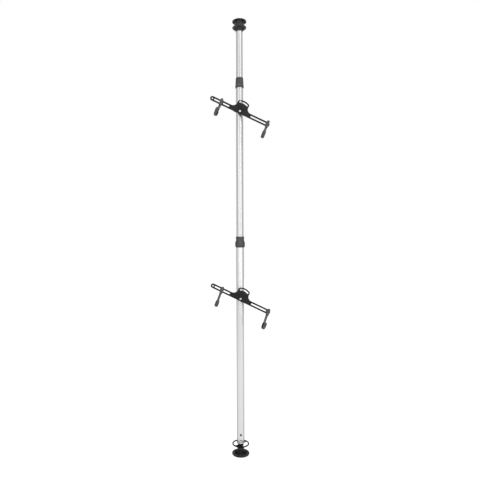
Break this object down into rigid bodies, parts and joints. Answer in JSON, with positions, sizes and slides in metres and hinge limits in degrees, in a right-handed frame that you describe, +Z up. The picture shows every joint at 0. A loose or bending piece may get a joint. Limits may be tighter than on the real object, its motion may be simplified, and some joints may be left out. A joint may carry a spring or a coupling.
{
  "type": "bike storage tower",
  "caption": "Floor-to-ceiling telescoping pole with a screw foot, twist-lock collars and clamped holders, whose tilting slotted plates carry padded hooks for hanging bicycles.",
  "frame": {"origin": "on the floor under the middle of the foot", "axes": "+Z up the pole, -Y to the front where the hooks are, +X to the right seen from the front"},
  "size_m": [0.4058, 0.1987, 3],
  "materials": {
    "pad_rubber": "matt black",
    "foot_plastic": "satin moulded black",
    "zinc_steel": "bright zinc plating",
    "brass": "machined",
    "rod_steel": "black powder coat",
    "nylon": "natural white",
    "plain_aluminium": "silver anodised, drawn lengthwise",
    "fluted_aluminium": "silver anodised, fluted",
    "collar_plastic": "satin moulded black",
    "top_plastic": "satin moulded black",
    "liner_rubber": "matt black",
    "clamp_plastic": "fine moulded texture, black",
    "plate_steel": "black powder coat",
    "hook_steel": "dark grey powder coat",
    "saddle_rubber": "soft black rubber",
    "knob_plastic": "satin moulded black"
  },
  "bodies": {
    "foot": {"floor_pad": "pad_rubber", "foot_base": "foot_plastic", "tension_spindle": "zinc_steel", "spindle_cap": "foot_plastic"},
    "lower_pole": {"thrust_washer": "nylon", "lower_end_plug": "foot_plastic", "end_plug_screw": "zinc_steel", "lower_tube": "plain_aluminium", "lower_lock_sleeve": "nylon", "lower_lock_collet": "nylon"},
    "handwheel": {"handwheel_hub": "foot_plastic", "handwheel_nut": "brass", "handwheel_ring": "rod_steel"},
    "lower_collar": {"lower_twist_collar": "collar_plastic"},
    "middle_pole": {"middle_tube": "fluted_aluminium", "middle_tube_glide": "nylon", "upper_lock_sleeve": "nylon", "upper_lock_collet": "nylon"},
    "upper_collar": {"upper_twist_collar": "collar_plastic"},
    "upper_pole": {"upper_tube": "fluted_aluminium", "upper_tube_glide": "nylon", "top_cap": "top_plastic", "ceiling_plate": "top_plastic", "ceiling_screw": "zinc_steel", "ceiling_pad": "pad_rubber"},
    "lower_carrier": {"lower_clamp_liner": "liner_rubber"},
    "lower_clamp": {"lower_clamp_front": "clamp_plastic", "lower_clamp_back": "clamp_plastic", "lower_clamp_bolt_left_bottom": "zinc_steel", "lower_clamp_bolt_right_bottom": "zinc_steel", "lower_clamp_bolt_left_top": "zinc_steel", "lower_clamp_bolt_right_top": "zinc_steel", "lower_pivot_bolt": "zinc_steel", "lower_lock_bolt": "zinc_steel"},
    "lower_plate": {"lower_holder_plate": "plate_steel"},
    "lower_left_slider": {"lower_left_hook_knob": "knob_plastic"},
    "lower_left_arm": {"lower_left_hook": "hook_steel", "lower_left_hook_pad": "saddle_rubber"},
    "lower_right_arm": {"lower_right_hook": "hook_steel", "lower_right_hook_pad": "saddle_rubber", "lower_right_hook_knob": "knob_plastic"},
    "upper_carrier": {"upper_clamp_liner": "liner_rubber"},
    "upper_clamp": {"upper_clamp_front": "clamp_plastic", "upper_clamp_back": "clamp_plastic", "upper_clamp_bolt_left_bottom": "zinc_steel", "upper_clamp_bolt_right_bottom": "zinc_steel", "upper_clamp_bolt_left_top": "zinc_steel", "upper_clamp_bolt_right_top": "zinc_steel", "upper_pivot_bolt": "zinc_steel", "upper_lock_bolt": "zinc_steel"},
    "upper_plate": {"upper_holder_plate": "plate_steel"},
    "upper_left_slider": {"upper_left_hook_knob": "knob_plastic"},
    "upper_left_arm": {"upper_left_hook": "hook_steel", "upper_left_hook_pad": "saddle_rubber"},
    "upper_right_arm": {"upper_right_hook": "hook_steel", "upper_right_hook_pad": "saddle_rubber", "upper_right_hook_knob": "knob_plastic"}
  },
  "joints": [
    {"name": "tube_lift", "type": "slide", "parent": "foot", "child": "lower_pole", "axis": [0, 0, 1], "range_m": [-0.0031, 0.0405]},
    {"name": "handwheel_turn", "type": "hinge", "parent": "lower_pole", "child": "handwheel", "pos_m": [0, 0, 0.07], "axis": [0, 0, 1], "range_deg": [-270, 3600]},
    {"name": "lower_collar_twist", "type": "hinge", "parent": "lower_pole", "child": "lower_collar", "pos_m": [0, 0, 1.47], "axis": [0, 0, 1], "range_deg": [0, 90]},
    {"name": "middle_slide", "type": "slide", "parent": "lower_pole", "child": "middle_pole", "axis": [0, 0, 1], "range_m": [-0.83, 0.06]},
    {"name": "upper_collar_twist", "type": "hinge", "parent": "middle_pole", "child": "upper_collar", "pos_m": [0, 0, 2.57], "axis": [0, 0, 1], "range_deg": [0, 90]},
    {"name": "upper_slide", "type": "slide", "parent": "middle_pole", "child": "upper_pole", "axis": [0, 0, 1], "range_m": [-0.32, 0.35]},
    {"name": "lower_clamp_slide", "type": "slide", "parent": "lower_pole", "child": "lower_carrier", "axis": [0, 0, -1], "range_m": [-0.26, 0.7]},
    {"name": "lower_clamp_turn", "type": "hinge", "parent": "lower_carrier", "child": "lower_clamp", "pos_m": [0, 0, 1.082], "axis": [0, 0, 1], "range_deg": [-180, 180]},
    {"name": "lower_plate_tilt", "type": "hinge", "parent": "lower_clamp", "child": "lower_plate", "pos_m": [0, -0.0485, 1.082], "axis": [0, 1, 0], "range_deg": [-49.7, 3.3]},
    {"name": "lower_left_hook_slide", "type": "slide", "parent": "lower_plate", "child": "lower_left_slider", "axis": [0.9011, 0, -0.4337], "range_m": [-0.0485, 0.0555]},
    {"name": "lower_left_hook_turn", "type": "hinge", "parent": "lower_left_slider", "child": "lower_left_arm", "pos_m": [-0.12705, -0.0485, 1.14315], "axis": [0, 1, 0], "range_deg": [-45, 45]},
    {"name": "lower_right_hook_turn", "type": "hinge", "parent": "lower_plate", "child": "lower_right_arm", "pos_m": [0.18697, -0.0485, 0.99202], "axis": [0, 1, 0], "range_deg": [-45, 45]},
    {"name": "upper_clamp_slide", "type": "slide", "parent": "middle_pole", "child": "upper_carrier", "axis": [0, 0, -1], "range_m": [-0.09, 0.83]},
    {"name": "upper_clamp_turn", "type": "hinge", "parent": "upper_carrier", "child": "upper_clamp", "pos_m": [0, 0, 2.362], "axis": [0, 0, 1], "range_deg": [-180, 180]},
    {"name": "upper_plate_tilt", "type": "hinge", "parent": "upper_clamp", "child": "upper_plate", "pos_m": [0, -0.0485, 2.362], "axis": [0, 1, 0], "range_deg": [-49.7, 3.3]},
    {"name": "upper_left_hook_slide", "type": "slide", "parent": "upper_plate", "child": "upper_left_slider", "axis": [0.9011, 0, -0.4337], "range_m": [-0.0485, 0.0555]},
    {"name": "upper_left_hook_turn", "type": "hinge", "parent": "upper_left_slider", "child": "upper_left_arm", "pos_m": [-0.12705, -0.0485, 2.42315], "axis": [0, 1, 0], "range_deg": [-45, 45]},
    {"name": "upper_right_hook_turn", "type": "hinge", "parent": "upper_plate", "child": "upper_right_arm", "pos_m": [0.18697, -0.0485, 2.27202], "axis": [0, 1, 0], "range_deg": [-45, 45]}
  ],
  "couplings": [
    {"joint": "tube_lift", "follows": "handwheel_turn", "m_per_rad": 0.00063662}
  ]
}
